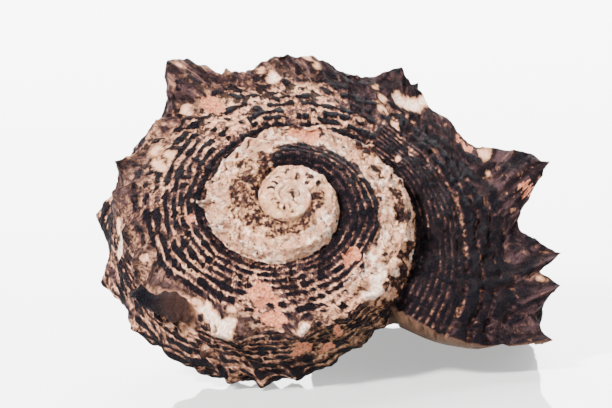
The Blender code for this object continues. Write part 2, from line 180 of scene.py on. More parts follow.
def keel_radius(t):
    """Distance of the keel from the axis."""
    return KEEL_START * np.exp(GROWTH * np.radians(t)) * ease(t, GROWTH_FACTOR)


def keel_height(t):
    """Height of the keel, measured down from the apex."""
    return -DROP * (KEEL_START * np.exp(GROWTH * np.radians(t))) ** DROP_POWER


def spine_height(t, spines):
    """Length of the spines at stage t, as a share of the keel radius."""
    t = np.asarray(t, float)
    height = np.zeros_like(t)
    for spine in spines:
        if len(spine) < 6:
            spine = (spine[0], spine[0], spine[1], spine[1], spine[2], spine[-1])
        first, last, long_first, long_last, before, after = spine
        span = max(last - first, 1e-6)
        inside = np.clip((t - first) / span, 0, 1)
        tip = long_first + (long_last - long_first) * inside
        away = np.where(t < first, (first - t) / before, (t - last) / after)
        away = np.clip(away, 0, 1)
        height = np.maximum(height, tip * (1 - away) ** 1.5)
    return height


def paired(t, u):
    """Stages and courses as arrays of one shape."""
    return np.broadcast_arrays(np.asarray(t, float), np.asarray(u, float))


def section(u, column):
    """One column of the section's table at course u."""
    return ease(u, [(row[0], row[column]) for row in SECTION])


def outer_side(t, u, bare=False):
    """Angle, radius and height on the outer side and base, courses 1 to 3."""
    t, u = paired(t, u)
    size = keel_radius(t)
    out = section(u, 1)
    down = section(u, 2)
    lag = section(u, 3)
    near_lip = ease(t, [(1090, 0.0), (1194, 1.0)])
    out = np.where(out > 0, out * (1 - 0.6 * near_lip), out)
    down = np.where(t > 1090, down * (1 + 0.04 * near_lip), down)
    swell = ease(t, [(800, 0.0), (850, 0.045), (945, 0.045), (975, 0.02), (1000, 0.0)])
    out += swell * ease(u, [(1.0, 0.0), (1.9, 0.9), (2.2, 1.0), (2.6, 0.0)])
    radius = size * (1 + out)
    height = keel_height(t) + size * down
    if not bare:
        turn = 0.01
        run = section(u + turn, 1) - section(u - turn, 1)
        fall = section(u + turn, 2) - section(u - turn, 2)
        reach = np.maximum(np.hypot(run, fall), 1e-9)
        side = spine_height(t, SIDE_SPINES)
        lift = side * np.clip(1 - np.abs(u - SIDE_COURSE) / 0.15, 0, 1) ** 1.3
        edge = np.cos(np.radians(180 * t / EDGE_PITCH)) ** 2
        lift += EDGE_KNOB * edge * np.clip(1 - np.abs(u - 3.0) / 0.05, 0, 1)
        scale = np.cos(np.radians(180 * t / BASE_PITCH)) ** 2
        scale *= ease(t, [(875, 1.0), (900, 2.2), (940, 2.2), (965, 1.0)])
        lift += BASE_SCALE * scale * np.clip(1 - np.abs(u - BASE_COURSE) / 0.06, 0, 1)
        for stage, course, half, wide, deep in SCOOPS:
            off = ((t - stage) / half) ** 2 + ((u - course) / wide) ** 2
            lift -= deep * np.clip(1 - off, 0, 1)
        radius -= size * lift * fall / reach
        height += size * lift * run / reach
        tip = spine_height(t, SHOULDER_SPINES) * size
        tip *= ease(u, [(1.0, 1.0), (1.17, 0.62), (1.4, 0.22), (1.75, 0.0)])
        radius += tip
        height += SPINE_LIFT * tip
    return t - lag, radius, height


def ramp(t, u, bare=False):
    """Angle, radius and height on the ramp from suture to keel, courses 0 to 1."""
    t, u = paired(t, u)
    size = keel_radius(t)
    _, inner_r, inner_z = outer_side(t - TURN_BACK, 2.0, bare)
    keel_z = keel_height(t)
    radius = inner_r + (size - inner_r) * u
    height = inner_z + (keel_z - inner_z) * u
    bow = ease(u, [(0, 0), (0.25, 0.024), (0.55, 0.012), (0.8, -0.012), (1.0, 0.0)])
    height += size * bow
    if not bare:
        tip = spine_height(t, SHOULDER_SPINES) * size
        tip *= ease(u, [(0.45, 0.0), (0.75, 0.2), (0.9, 0.56), (1.0, 1.0)])
        radius += tip
        height += SPINE_LIFT * tip
    start = 360.0 - TURN_BACK - JOIN_LAG
    lead = ease(u, [(0, start), (0.35, 15.5), (0.7, 9.0), (1.0, 0.0)])
    return t + lead, radius, height


def wall(t, u, bare=False):
    """Angle, radius and height on the umbilical wall, courses 3 to 4."""
    t, u = paired(t, u)
    share = u - 3.0
    _, rim_r, rim_z = outer_side(t, 3.0, True)
    _, end_r, end_z = outer_side(t - TURN_BACK, 3.0, True)
    radius = rim_r + (end_r - rim_r) * share
    radius -= 0.02 * keel_radius(t) * np.sin(math.pi * share)
    height = rim_z + (end_z - rim_z) * share
    if not bare:
        _, knob_r, knob_z = outer_side(t, 3.0)
        _, last_r, last_z = outer_side(t - TURN_BACK, 3.0)
        near = (1 - share) ** 4
        far = share ** 6
        radius = radius + (knob_r - rim_r) * near + (last_r - end_r) * far
        height = height + (knob_z - rim_z) * near + (last_z - end_z) * far
    lag = EDGE_LAG + (TURN_BACK - 360.0) * share
    return t - lag, radius, height


def surface(t, u, bare=False):
    """Angle, radius and height anywhere on the outside of the whorl."""
    t, u = paired(t, u)
    out = np.zeros(t.shape + (3,))
    for mask, rule in (
        (u < 1, ramp), ((u >= 1) & (u <= 3), outer_side), (u > 3, wall)
    ):
        if mask.any():
            out[mask] = np.stack(rule(t[mask], u[mask], bare), -1)
    return out


def place(polar):
    """Polar position about the shell's own axis, in mm, to x, y, z."""
    angle = np.radians(polar[..., 0])
    return np.stack(
        [
            polar[..., 1] * np.sin(angle),
            polar[..., 1] * np.cos(angle),
            polar[..., 2],
        ],
        -1,
    )


def on_shell(t, rows):
    """Places on the outside at stage t, one for each course in rows."""
    return place(surface(t, np.array(rows)))


def tube_ring(t, wall_share):
    """One ring of the inner wall at stage t, as an offset from the outside section."""
    size = float(keel_radius(t))
    own = surface(t, np.linspace(0, 4, 321), True)
    inner = surface(t - TURN_BACK, np.linspace(3, 2, 81), True)
    loop = np.concatenate([own, inner[1:]])
    loop[len(own):, 0] += 360.0
    centre = np.array([TUBE_OUT * size, float(keel_height(t)) - TUBE_DOWN * size])
    start = loop[:, 1:] - centre
    side = np.roll(start, -1, axis=0) - start
    ring = []
    for k in range(TUBE_SIDES):
        angle = 2 * math.pi * k / TUBE_SIDES
        ray = np.array([math.cos(angle), math.sin(angle)])
        cross = ray[0] * side[:, 1] - ray[1] * side[:, 0]
        cross = np.where(np.abs(cross) < 1e-12, 1e-12, cross)
        reach = (start[:, 0] * side[:, 1] - start[:, 1] * side[:, 0]) / cross
        share = (start[:, 0] * ray[1] - start[:, 1] * ray[0]) / cross
        good = (reach > 0) & (share >= -1e-9) & (share <= 1 + 1e-9)
        reach = np.where(good, reach, np.inf)
        hit = int(np.argmin(reach))
        far = float(reach[hit])
        turn = loop[hit, 0] + (loop[(hit + 1) % len(loop), 0] - loop[hit, 0]) * share[hit]
        thick = wall_share * size
        if hit >= len(own) - 1:
            thick = CALLUS * WALL * size
            turn -= CALLUS_LAG
        near = min(TUBE_RADIUS * size, far - thick)
        ring.append((turn, centre[0] + ray[0] * near, centre[1] + ray[1] * near))
    return np.array(ring)


def settle(points):
    """Turn the shell from its own axis to its resting pose, apex towards -Y."""
    (ca, sa), (cb, sb), (cc, sc), (cd, sd) = [
        (math.cos(math.radians(angle)), math.sin(math.radians(angle)))
        for angle in (TIP_BACK, TIP_ASIDE, SETTLE, LEAN)
    ]
    x, y, z = points[:, 0], points[:, 1], points[:, 2]
    up = y * ca + z * sa
    near = z * ca - y * sa
    across = x * cb + near * sb
    near = near * cb - x * sb
    height = up * cc + near * sc
    return np.stack(
        [across * cd + height * sd, up * sc - near * cc, height * cd - across * sd], -1
    )


def zip_strip(a, ka, b, kb):
    """Triangles between two rows of vertices, matched by their keys."""
    faces = []
    i = 0
    j = 0
    while i < len(a) - 1 or j < len(b) - 1:
        take_a = j >= len(b) - 1 or (i < len(a) - 1 and ka[i + 1] <= kb[j + 1])
        if take_a:
            faces.append((a[i], a[i + 1], b[j]))
            i += 1
        else:
            faces.append((a[i], b[j + 1], b[j]))
            j += 1
    return faces


def even_courses(first, last, cords_between, rows):
    """Courses from first to last with the same number of rows on every cord."""
    count = rows * cords_between
    return [first + (last - first) * i / count for i in range(count + 1)]


def zone(t):
    """Column step and rows per cord of the zone that holds stage t."""
    inside = [z for z in ZONES if t >= z[0] - 1e-6]
    return inside[-1][1:]


def even_stages(first, last, step):
    """Stages from first to last at about the step given, ends included."""
    count = max(1, round((last - first) / step))
    return [first + (last - first) * i / count for i in range(count + 1)]


def fan(ring, tip):
    """Triangles from a closed ring of vertices to one more vertex."""
    return [(ring[k], ring[(k + 1) % len(ring)], tip) for k in range(len(ring))]


class ShellMesh:
    """Vertices with their stage and course, and triangles, of the fine shell."""

    def __init__(self):
        self.points = []
        self.stage = []
        self.course = []
        self.faces = []
        self.count = 0

    def add_rows(self, t, rows, where, course=None):
        """Add vertices at one stage, at the courses given or all at one course."""
        self.points.append(where)
        self.stage += [t] * len(where)
        self.course += list(rows if course is None else [course] * len(where))
        first = self.count
        self.count += len(where)
        return list(range(first, self.count))

    def build(self):
        """Lay out the outside, the umbilicus and the hollow as one closed surface."""
        stage_back = STAGE_LIP - TURN_BACK
        marks = [STAGE_FIRST, STAGE_FIRST + TURN_BACK, ZONES[1][0], stage_back, STAGE_LIP]
        stages = []
        for a, b in zip(marks[:-1], marks[1:]):
            stages += even_stages(a, b, zone(a)[0])[:-1]
        stages.append(STAGE_LIP)
        lip = len(stages) - 1
        back = stages.index(stage_back)

        top = []
        column = []
        for t in stages:
            rows = even_courses(0, 1, RAMP_CORDS, zone(t)[1])[1:]
            side_rows = SIDE_ROWS if t >= stage_back - 1e-6 else HIDDEN_ROWS
            rows += even_courses(1, 2, UPPER_CORDS, side_rows)[1:]
            top.append(rows)
            column.append(self.add_rows(t, rows, on_shell(t, rows)))
        for i in range(lip):
            self.strip(column[i], top[i], column[i + 1], top[i + 1])

        seen = even_courses(2, 3, LOWER_CORDS, SIDE_ROWS)
        hidden = even_courses(2, 3, LOWER_CORDS, HIDDEN_ROWS)
        lower = seen[1:SEEN_CORDS * SIDE_ROWS + 1] + hidden[SEEN_CORDS * HIDDEN_ROWS + 1:]
        low_stages = even_stages(stage_back, STAGE_LIP, LOW_STEP)
        low_column = []
        for t in low_stages:
            low_column.append(self.add_rows(t, lower, on_shell(t, lower)))
        for a, b in zip(low_column[:-1], low_column[1:]):
            self.strip(a, lower, b, lower)
        join = [column[i][-1] for i in range(back, lip + 1)]
        under = [c[0] for c in low_column]
        self.strip(under, low_stages, join, stages[back:])

        turn = even_stages(STAGE_WALL, STAGE_WALL + TURN_BACK, WALL_STEP)
        rest = even_stages(STAGE_WALL + TURN_BACK, stage_back, WALL_STEP)
        wall_stages = turn[:-1] + rest[:-1] + low_stages[::3]
        if wall_stages[-1] != STAGE_LIP:
            wall_stages.append(STAGE_LIP)
        wall_column = []
        edge_row = []
        for t in wall_stages:
            where = on_shell(t, [3.0] + WALL_ROWS)
            inside = self.add_rows(t, WALL_ROWS, where[1:])
            if t >= stage_back:
                edge = low_column[low_stages.index(t)][-1]
            else:
                edge = self.add_rows(t, [3.0], where[:1])[0]
            wall_column.append([edge] + inside)
            edge_row.append(edge)
        early = [i for i, t in enumerate(wall_stages) if t <= stage_back]
        rows = [3.0] + WALL_ROWS
        for i in early[:-1]:
            self.strip(wall_column[i], rows, wall_column[i + 1], rows)
        for i in range(early[-1], len(wall_stages) - 1):
            self.strip(wall_column[i][1:], WALL_ROWS, wall_column[i + 1][1:], WALL_ROWS)
        # The wall's columns are wider than those of the base: a strip joins the two
        a = [c[-1] for c in low_column]
        b = [wall_column[i][1] for i in range(early[-1], len(wall_stages))]
        self.strip(b, wall_stages[early[-1]:], a, low_stages)

        # Seams to the whorl before
        self.top_seam = len(self.faces)
        start = next(i for i, t in enumerate(stages) if t >= STAGE_FIRST + TURN_BACK)
        a = [column[i][0] for i in range(start, lip + 1)]
        b = [column[i][-1] for i in range(back + 1)]
        kb = [stages[i] + TURN_BACK for i in range(back + 1)]
        self.strip(b, kb, a, stages[start:])
        self.wall_seam = len(self.faces)
        turned = [wall_stages[i] + TURN_BACK for i in early]
        first = next(i for i, t in enumerate(wall_stages) if t >= turned[0] - 1e-6)
        a = [c[-1] for c in wall_column[first:]]
        b = [wall_column[i][0] for i in early]
        self.strip(a, wall_stages[first:], b, turned)
        self.seams_end = len(self.faces)

        # Apex cap and blind bottom of the umbilicus
        ring = column[0] + [column[i][0] for i in range(start, 0, -1)]
        where = self.take(ring)
        tip = np.array([[*where.mean(0)[:2], where[:, 2].max() + 0.05]])
        tip = self.add_rows(STAGE_FIRST, [0.5], tip)[0]
        self.faces += fan(ring, tip)
        ring = wall_column[0][::-1] + [c[-1] for c in wall_column[first:0:-1]]
        where = self.take(ring)
        bottom = np.array([[0.0, 0.0, where[:, 2].mean() + 0.3]])
        bottom = self.add_rows(STAGE_WALL, [3.5], bottom)[0]
        self.faces += fan(ring, bottom)

        # Lip loop round the aperture, then the inner wall back to a blind end
        outer = [column[back][-1]] + column[lip] + low_column[-1]
        outer += wall_column[-1][1:] + low_column[0][::-1]
        self.lip_loop = set(column[lip] + low_column[-1] + wall_column[-1])
        size = float(keel_radius(STAGE_LIP))
        middle = np.array(
            [TUBE_OUT * size, float(keel_height(STAGE_LIP)) - TUBE_DOWN * size]
        )

        def bearings(vertices):
            where = self.take(vertices)
            across = np.hypot(where[:, 0], where[:, 1]) - middle[0]
            return np.arctan2(where[:, 2] - middle[1], across)

        rings = []
        for i in range(TUBE_RINGS):
            share = i / (TUBE_RINGS - 1)
            depth = TUBE_DEPTH * share ** 1.3
            thick = WALL + (LIP_WALL - WALL) * math.exp(-depth / 6.0)
            ring = place(tube_ring(STAGE_LIP - depth, thick))
            rings.append(self.add_rows(STAGE_LIP - depth, None, ring, 5.0))
        keys = bearings(outer)
        begin = keys[0]
        key_outer = list(np.maximum.accumulate((begin - keys) % (2 * math.pi)))
        inner_keys = (begin - bearings(rings[0])) % (2 * math.pi)
        order = np.argsort(inner_keys)
        a = outer + [outer[0]]
        b = [rings[0][k] for k in order] + [rings[0][order[0]]]
        kb = inner_keys[order]
        kb = list(kb - kb[0] * 0.999) + [2 * math.pi]
        strip = zip_strip(a, key_outer + [2 * math.pi], b, kb)
        self.faces += [tuple(reversed(f)) for f in strip]
        for r0, r1 in zip(rings[:-1], rings[1:]):
            for k in range(TUBE_SIDES):
                n = (k + 1) % TUBE_SIDES
                self.faces.append((r0[k], r1[k], r1[n]))
                self.faces.append((r0[k], r1[n], r0[n]))
        end = self.take(rings[-1]).mean(0)
        blind = self.add_rows(STAGE_LIP - TUBE_DEPTH, None, end[None], 5.0)[0]
        for k in range(TUBE_SIDES):
            self.faces.append((rings[-1][k], blind, rings[-1][(k + 1) % TUBE_SIDES]))
        self.first_ring = set(rings[0])

    def strip(self, a, ka, b, kb):
        """Join two rows of vertices by triangles."""
        self.faces += zip_strip(a, ka, b, kb)

    def take(self, vertices):
        """Positions of the vertices given."""
        return np.concatenate(self.points)[vertices]


def noise(points, scale, seed):
    """Smooth noise from -1 to 1 at points, with features about scale across."""
    table = np.random.RandomState(seed).uniform(-1, 1, 4096)
    p = np.asarray(points, float) / scale
    cell = np.floor(p).astype(int)
    part = p - cell
    part = part * part * (3 - 2 * part)
    total = np.zeros(len(p))
    for corner in range(8):
        dx, dy, dz = corner & 1, corner >> 1 & 1, corner >> 2 & 1
        key = (cell[:, 0] + dx) * 73 + (cell[:, 1] + dy) * 1217 + (cell[:, 2] + dz) * 3571
        weight = np.where(dx, part[:, 0], 1 - part[:, 0])
        weight *= np.where(dy, part[:, 1], 1 - part[:, 1])
        weight *= np.where(dz, part[:, 2], 1 - part[:, 2])
        total += weight * table[key % 4096]
    return total


def smooth(value, low, high):
    """0 below low, 1 above high, with an even turn between."""
    x = np.clip((value - low) / (high - low), 0, 1)
    return x * x * (3 - 2 * x)


def window(value, rise, fall):
    """0 outside, 1 between two turns, each given by its start and end."""
    return smooth(value, *rise) * (1 - smooth(value, *fall))


def bell(value, centre, width):
    """1 at the centre, falling to 0 on both sides."""
    return np.exp(-(((value - centre) / width) ** 2))


def normals(points, faces):
    """Vertex normals from the triangles round each vertex."""
    a, b, c = points[faces[:, 0]], points[faces[:, 1]], points[faces[:, 2]]
    face = np.cross(b - a, c - a)
    out = np.zeros_like(points)
    for k in range(3):
        np.add.at(out, faces[:, k], face)
    return out / np.maximum(np.linalg.norm(out, axis=1, keepdims=True), 1e-12)


def cord_place(u):
    """Running number across the cords: whole numbers lie in the grooves."""
    u = np.asarray(u, float)
    out = np.where(u <= 1, u * RAMP_CORDS, RAMP_CORDS + (u - 1) * UPPER_CORDS)
    low = RAMP_CORDS + UPPER_CORDS + (u - 2) * LOWER_CORDS
    return np.where(u > 2, low, out)


def bead_place(t):
    """Running number along the whorl: one for every scale on a cord."""
    turned = np.asarray(t, float) - ZONES[2][0]
    return turned / (BEAD_COLUMNS * np.where(turned < 0, ZONES[1][1], ZONES[2][1]))


# Patches on the outside: stage, course, radius in mm
PINK_PATCHES = [
    (1045, 0.74, 1.0), (1043, 0.66, 0.8), (729, 0.78, 1.2), (722, 0.85, 0.7), (840, 0.44, 1.0),
    (905, 0.60, 1.3), (906, 0.45, 1.0), (904, 0.87, 1.1), (1155.5, 0.93, 0.75), (902, 1.85, 1.1),
    (894, 2.05, 0.8), (968, 0.24, 0.7), (885, 1.5, 0.8), (1137, 0.96, 0.6), (1140, 0.94, 0.7),
    (1090, 0.30, 0.4), (1072, 0.45, 0.6),
]
PALE_PATCHES = [
    (1118, 0.87, 1.0), (1113, 0.82, 0.9), (1123, 0.95, 0.8), (1010, 0.72, 0.64), (1006, 0.66, 0.64),
    (1013, 0.62, 0.64), (1017, 0.80, 0.64), (1075, 0.86, 0.8), (894, 0.96, 0.75), (900.6, 1.0, 0.4),
    (906, 1.10, 0.35), (922.4, 0.91, 0.9), (925.6, 0.97, 1.1), (928.7, 0.93, 1.1),
    (932.8, 0.93, 0.95), (937, 0.93, 0.7), (940.6, 0.91, 0.5), (920.9, 0.78, 0.6),
    (849.6, 0.98, 0.7), (853.6, 0.92, 0.9), (861, 1.05, 0.8), (866, 1.05, 0.6), (871, 0.98, 0.6),
    (881, 1.03, 0.5), (987.5, 1.33, 0.7), (992.7, 1.39, 0.66), (987.5, 1.61, 0.75), (988.5, 1.85, 0.7),
    (969.3, 0.92, 0.35), (970.8, 1.10, 0.4), (822, 0.92, 0.6), (1121, 0.20, 0.35),
    (1180, 0.96, 0.45), (1050, 0.98, 0.4), (1144.6, 0.96, 0.6), (1147, 0.86, 0.45),
    (1153, 0.93, 0.3), (1106.6, 0.88, 0.5), (1107.1, 0.78, 0.6), (1107.6, 0.67, 0.5),
    (1111.8, 0.53, 0.5), (628, 1.0, 0.8), (609, 1.0, 0.7), (898, 2.09, 0.4), (1016, 0.97, 0.5),
    (953.6, 1.80, 0.45), (947, 1.62, 0.5), (943.8, 1.50, 0.5), (1073.5, 0.94, 0.6),
    (1081.5, 0.70, 0.55), (1089.5, 0.92, 0.5), (1088, 0.98, 0.4), (1041, 0.86, 0.5), (1060, 0.80, 0.5),
]
# The hollow at the lower left, with two small pits of the same kind, painted dark as the shade in them
HOLLOW_PATCHES = [
    (957, 0.98, 0.9), (955, 0.99, 1.1), (953, 1.00, 1.2), (951, 1.02, 1.2), (949, 1.06, 1.15),
    (947, 1.13, 1.0), (944.5, 1.24, 0.7), (927, 0.87, 0.22), (939.6, 2.0, 0.55),
]

# Rounded knobs left of worn spines: stage, course, radius and height in mm
KNOBS = [
    (894.3, 0.97, 0.95, 0.45), (925.6, 0.98, 1.0, 0.55), (930, 0.94, 1.2, 0.45),
    (938, 0.93, 0.9, 0.30), (853, 0.94, 1.0, 0.40), (905, 0.75, 1.6, 0.35),
    (1045, 0.72, 1.3, 0.25), (840, 0.44, 1.1, 0.30), (1116, 0.86, 1.4, 0.30),
]

# Bends of the space that patches are measured in: shift and feature size in mm, and seeds
WIDE_BEND = (0.45, 1.3, (51, 52, 53))
FINE_BEND = (0.25, 0.55, (55, 56, 57))
HOLLOW_BEND = (0.25, 1.3, (51, 52, 53))

# Patches up to this radius in mm stay fainter than large ones
SMALL_PATCH = 0.65
SMALL_PATCH_SHARE = 0.60

# Curves along the whorls: stage and value
LIGHTNESS = [
    (500, 0.5), (700, 0.25), (840, 0.5), (880, 0.75), (940, 0.8), (1000, 0.75), (1030, 0.9),
    (1085, 0.95), (1110, 0.45), (1135, 0.12), (1194, 0.08),
]
BLOTCH_REACH = [(400, 0.30), (540, 0.40), (600, 0.55), (660, 0.55), (700, 0.45)]
PIT_SHARE = [
    (500, 0.75), (640, 0.95), (840, 0.92), (880, 0.62), (1010, 0.66), (1035, 0.55),
    (1090, 0.50), (1118, 0.9), (1150, 1.0), (1194, 1.0),
]
PIT_WIDTH = [(850, 0.30), (900, 0.30), (1030, 0.32), (1110, 0.32), (1150, 0.34)]
CORD_WEAR = [(-100, 0.1), (300, 0.2), (560, 0.7), (760, 1.0), (1194, 1.0)]
FLUTE_DEPTH = [(1000, 0.010), (1030, 0.028), (1110, 0.028), (1130, 0.012)]
GRAIN = [(420, 1.7), (680, 1.7), (760, 1.0)]
ORDER = [(1010, 1.0), (1035, 0.4), (1095, 0.4), (1118, 1.0)]

# Start and end of gradual turns, in stage or course
BAND_END = (845, 880)
SIDE_EDGE = (1.95, 2.1)
SUTURE_STRIP = (0.06, 0.24)
TOP_START = (1030, 1038)
TOP_END = (1108, 1116)

# Near the lip the cords of the inner ramp are twice as many
DOUBLED_STAGE = 1108
DOUBLED_COURSE = 0.5

# Middle of the strength of the threads and their painted highlight, taken out again in the material
THREAD_AND_HIGHLIGHT_MEAN = 0.42

# Degrees from one dash, knob or rib to the next on the early whorls
DASH_PITCH = 23.0
KNOB_PITCH = 15.0
RIB_PITCH = 13.0

# Relief as a share of the whorl's size
KNOB_RISE = 0.065
CHANNEL_DEPTH = 0.060
RIB_RISE = 0.022
DIRT_DEPTH = 0.02
FOLD_RISE = 0.011
LINE_RISE = 0.003
SWELL_RISE = 0.008

# Relief in mm
PINK_RISE = 0.12
PALE_RISE = 0.10
RIM_RISE = 0.28
HOLLOW_DEPTH = 0.9
NUCLEUS_RISE = 0.22
NUCLEUS_GROOVE = 0.10
APEX_TIP = (0.12, -0.11)


def bend(points, amount, scale, seeds):
    """Points shifted by noise, so that round patches get uneven outlines."""
    return points + amount * np.stack([noise(points, scale, seed) for seed in seeds], -1)


def patch_reach(points, patches):
    """Distance to the nearest patch as a share of its radius, in a slightly bent space."""
    reach = np.full(len(points), np.inf)
    bent = bend(points, *HOLLOW_BEND)
    for stage, course, radius in patches:
        away = np.linalg.norm(bent - on_shell(stage, [course]), axis=1)
        reach = np.minimum(reach, away / radius)
    return reach


def patch_mask(points, patches, edge):
    """1 inside the patches, falling to 0 over their uneven edges."""
    mask = np.zeros(len(points))
    bent = bend(points, *WIDE_BEND) + bend(points, *FINE_BEND) - points
    for stage, course, radius in patches:
        away = np.linalg.norm(bent - on_shell(stage, [course]), axis=1) / radius
        full = 1.0 if radius > SMALL_PATCH else SMALL_PATCH_SHARE
        mask = np.maximum(mask, full * smooth(edge - away, -1.35, -0.55))
    return mask


def lane_noise(along, across, seed):
    """Noise that runs along the cords."""
    return noise(np.stack([along, across, 0 * along], -1), 1.0, seed)


def whorl_masks(points, t, u):
    """Masks for the colours of the outside, from stage and course."""
    rough = noise(points, 1.1, 3) * 0.35 + noise(points, 0.4, 4) * 0.3
    masks = {
        "pink": patch_mask(points, PINK_PATCHES, rough),
        "pale": patch_mask(points, PALE_PATCHES, rough * 0.7),
    }
    hollow = patch_reach(points, HOLLOW_PATCHES)
    # Painted shade: dark inside the hollow and its two pits
    masks["dark"] = 1 - smooth(hollow, 0.80, 1.08)
    masks["rim"] = bell(hollow, 1.22, 0.17)

    # Cream of the early whorls and of the band along the third keel
    early = t + 22 * noise(points, 1.2, 34) - 30 * smooth(u, 0.12, 0.45)
    early = 1 - smooth(early, 660, 700)
    band = smooth(u + 0.10 * noise(points, 0.8, 35), 0.44, 0.80)
    band = band * (1 - smooth(u, *SIDE_EDGE)) * (1 - smooth(t, *BAND_END))
    masks["worn"] = np.clip(np.maximum(early, band), 0, 1)
    masks["light"] = ease(t, LIGHTNESS)

    # Brown left in the cream: dashes round the apex, blotches, spots on the band, a dot
    turned = np.radians(360 * t / DASH_PITCH) + 2.0 * noise(points, 1.1, 54)
    dashes = smooth(np.cos(turned) + 1.8 * noise(points, 0.35, 31), -0.7, 1.1)
    dashes = dashes * (0.82 + 0.5 * noise(points, 0.9, 58)) * window(t, (130, 175), (420, 470))
    ragged = u + 0.25 * noise(points, 0.5, 36)
    dashes = dashes * smooth(u, 0.0, 0.06) * (1 - smooth(ragged, 0.55, 0.78))
    reach = ease(t, BLOTCH_REACH)
    ragged = u + 0.25 * noise(points, 0.9, 37)
    blotch = (0.75 + 0.35 * noise(points, 0.8, 32)) * window(t, (400, 440), (700, 730))
    blotch *= 1 - smooth(ragged, reach, reach + 0.25)
    spots = 1.5 * smooth(noise(points, 0.95, 38) + 0.4 * noise(points, 0.4, 39), 0.12, 0.42)
    spots = spots * window(t, (690, 740), (850, 880)) * smooth(u, 0.72, 0.9)
    apart = np.hypot(points[:, 0] - APEX_TIP[0], points[:, 1] - APEX_TIP[1])
    dot = 1 - smooth(apart, 0.10, 0.30)
    masks["dirt"] = np.clip(dashes + np.maximum(blotch, spots), 0, 1) + 0.9 * dot

    # Shade by the suture and between the top spines, and dark streaks on the spines
    high = window(t, TOP_START, TOP_END) * (u < 1.5)
    gloom = 1.3 * (1 - smooth(u, *SUTURE_STRIP)) * window(t, (860, 960), (1060, 1100))
    gloom += 1.6 * (0.40 - u) * window(t, (690, 730), (860, 890)) * (u < 1)
    gloom += 0.8 * high * smooth(u, 0.76, 0.94)
    gloom += 1.4 * bell(t, 1097, 8.0) * smooth(u, 0.35, 0.55) * (u < 1.5)
    masks["gloom"] = gloom
    # Painted shade, olive, on the side just under the keel round stage 884
    masks["keel_shade"] = bell(t, 884, 22.0) * smooth(u, 1.1, 1.5) * (u < 3)
    spines = smooth(spine_height(t, SHOULDER_SPINES), 0.0, 0.07)
    down = 0.35 * window(t, (950, 965), (1010, 1030))
    near_keel = smooth(u, 0.68, 0.88) * (1 - smooth(u - down, 1.10, 1.40))
    streaked = 0.45 + 0.55 * np.maximum(spines, 0.45 * high)
    masks["tip"] = near_keel * streaked * smooth(t, 865, 905)
    return masks


def pits(t, u, along, cord):
    """Black stretches of the grooves between cross bars, from 0 to 1: partly the shell's dark colour,
    partly painted shade in the pits.
    """
    groove = np.round(cord)
    away = np.abs(cord - groove)
    clear = window(u, (0.56, 0.74), SIDE_EDGE) * (1 - smooth(t, *BAND_END))
    share = ease(t, PIT_SHARE) * (1 - 0.85 * clear)
    share += 0.22 * lane_noise(t / 7.0, u * 2.2, 48) * smooth(t, 860, 900)
    # More near the suture: partly dirt, partly painted shade
    share += 0.3 * (1 - smooth(u, *SUTURE_STRIP)) * smooth(t, 860, 960)
    share += 0.15 * window(t, (890, 930), (1000, 1030)) * (u < 0.8)
    length = np.where(u > 1, 0.7, 1.4) * np.where((share > 0.9) & (u < 1.9), 3.5, 1.0)
    run = lane_noise(along / length, groove * 7.3, 41)
    run += 0.4 * lane_noise(along / 0.8, groove * 5.1, 42)
    present = smooth(run + (share - 0.5) * 1.8, -0.12, 0.18)
    wide = ease(t, PIT_WIDTH) * (1 + 0.9 * lane_noise(along / 1.1, groove * 3.3, 43))
    pit = present * (1 - smooth(away, wide * 0.7, wide * 1.25))
    return pit * smooth(t, 470, 560) * smooth(np.abs(u - 1.0), 0.02, 0.07) * (u < 3.02)


